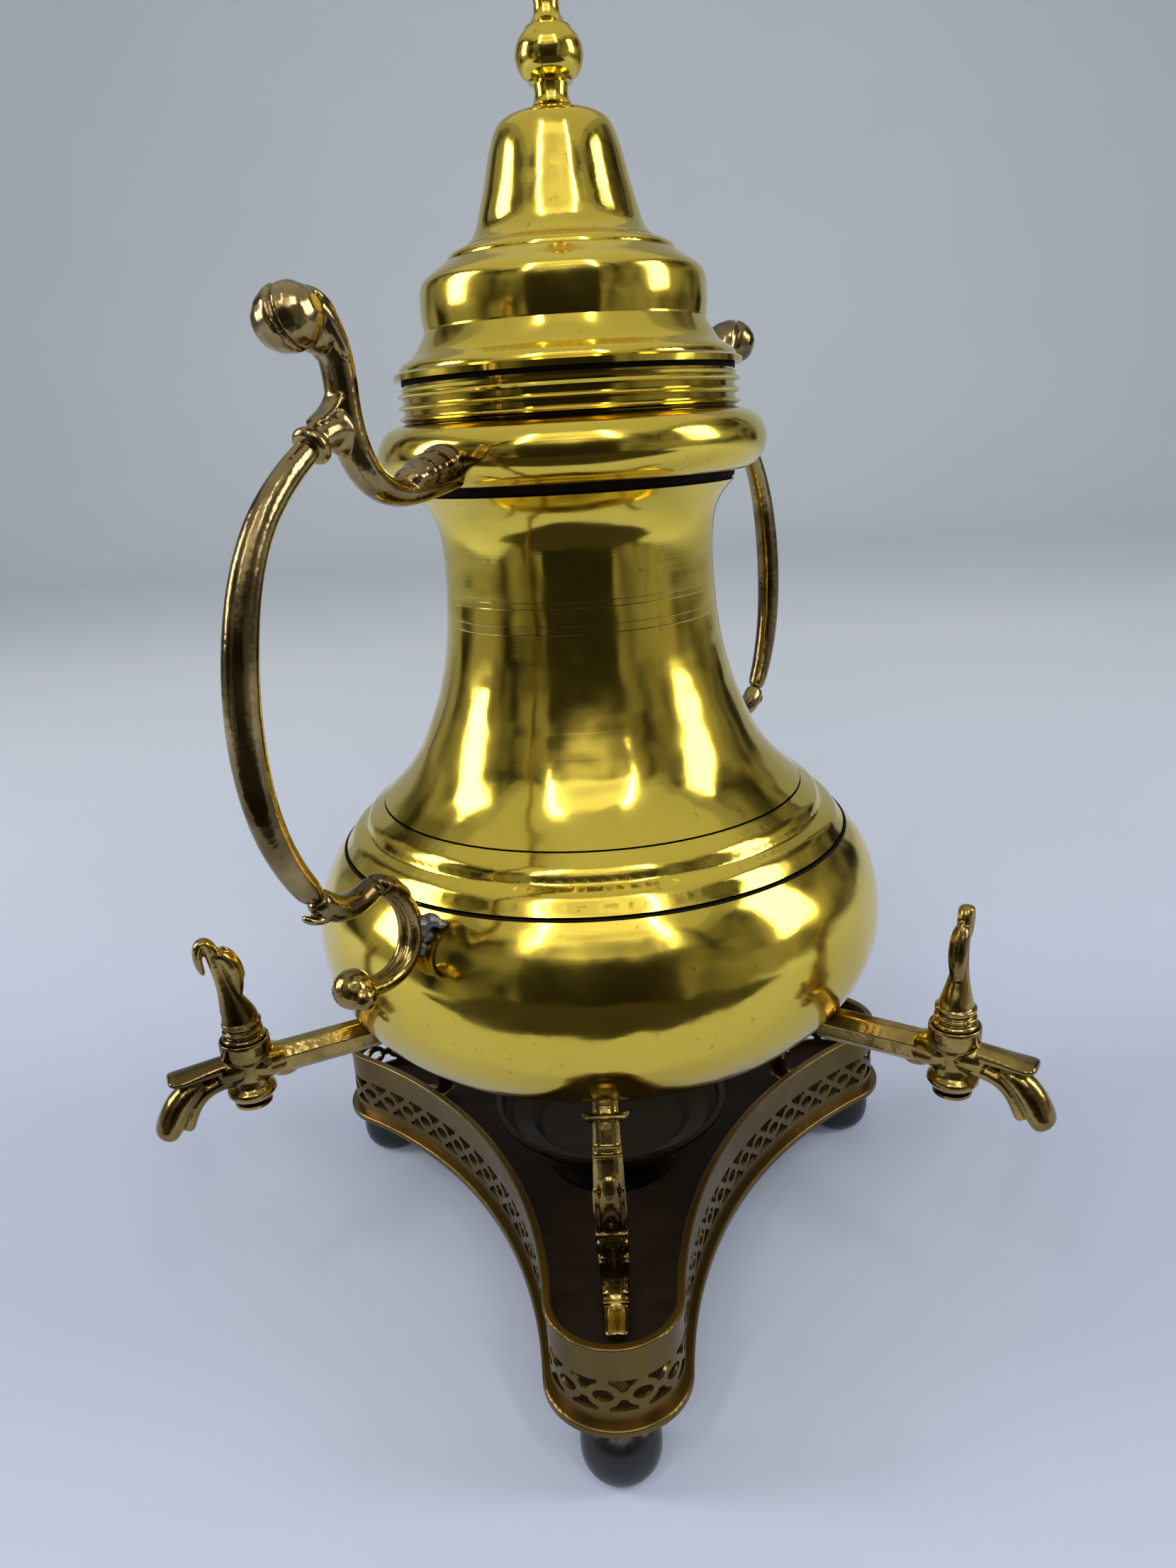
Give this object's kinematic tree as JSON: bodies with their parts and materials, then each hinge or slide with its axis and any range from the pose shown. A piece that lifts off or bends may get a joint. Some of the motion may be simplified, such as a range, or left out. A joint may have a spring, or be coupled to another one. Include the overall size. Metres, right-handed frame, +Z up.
{
  "type": "samovar",
  "caption": "Brass tap urn with a stepped lift-off lid, scroll handles and turning tap keys, on curved legs over a lobed tray with a pierced edge and bun feet.",
  "frame": {"origin": "on the urn's vertical axis, in the plane under the feet", "axes": "+Z up; -Y towards the front lobe of the tray, which points at the viewer in the picture; +X to the viewer's right"},
  "size_m": [0.2928, 0.303, 0.4484],
  "materials": {
    "polished_brass": "polished, spun",
    "cast_brass": "cast, worn smooth, darker in the hollows",
    "tray_brass": "rolled sheet, dulled",
    "dark_board": "dark stained, matt",
    "black_wood": "turned, blackened, satin",
    "dark_iron": "blackened",
    "screw_steel": "dull"
  },
  "bodies": {
    "urn": {"belly_shell": "polished_brass", "charcoal_dish": "dark_iron", "collar_ring": "polished_brass", "dish_screw": "screw_steel", "dish_stand": "dark_iron", "foot_front": "black_wood", "foot_left": "black_wood", "foot_right": "black_wood", "foot_screws": "screw_steel", "handle_left_bracket": "cast_brass", "handle_left_grip": "cast_brass", "handle_left_scroll": "cast_brass", "handle_right_bracket": "cast_brass", "handle_right_grip": "cast_brass", "handle_right_scroll": "cast_brass", "leg_front": "cast_brass", "leg_left": "cast_brass", "leg_right": "cast_brass", "leg_screws": "screw_steel", "raised_band": "polished_brass", "shoulder_shell": "polished_brass", "tap_back_body": "cast_brass", "tap_left_body": "cast_brass", "tap_right_body": "cast_brass", "tray_board": "dark_board", "tray_edge": "tray_brass", "tray_rim": "tray_brass", "tray_wall": "tray_brass"},
    "lid": {"finial_nut": "cast_brass", "lid_finial": "polished_brass", "lid_shell": "polished_brass", "lid_sleeve": "polished_brass"},
    "key_left": {"tap_left_key": "cast_brass", "tap_left_screw": "cast_brass", "tap_left_washer": "cast_brass"},
    "key_right": {"tap_right_key": "cast_brass", "tap_right_screw": "cast_brass", "tap_right_washer": "cast_brass"},
    "key_back": {"tap_back_key": "cast_brass", "tap_back_screw": "cast_brass", "tap_back_washer": "cast_brass"}
  },
  "joints": [
    {"name": "lid_lift", "type": "slide", "parent": "urn", "child": "lid", "axis": [0, 0, 1], "range_m": [0, 0.09]},
    {"name": "key_left_turn", "type": "hinge", "parent": "urn", "child": "key_left", "pos_m": [-0.12082, -0.06156, 0.1146], "axis": [0, 0, 1], "range_deg": [-90, 90]},
    {"name": "key_right_turn", "type": "hinge", "parent": "urn", "child": "key_right", "pos_m": [0.11372, -0.07385, 0.1146], "axis": [0, 0, 1], "range_deg": [-90, 90]},
    {"name": "key_back_turn", "type": "hinge", "parent": "urn", "child": "key_back", "pos_m": [0.0071, 0.13541, 0.1146], "axis": [0, 0, 1], "range_deg": [-90, 90]}
  ]
}
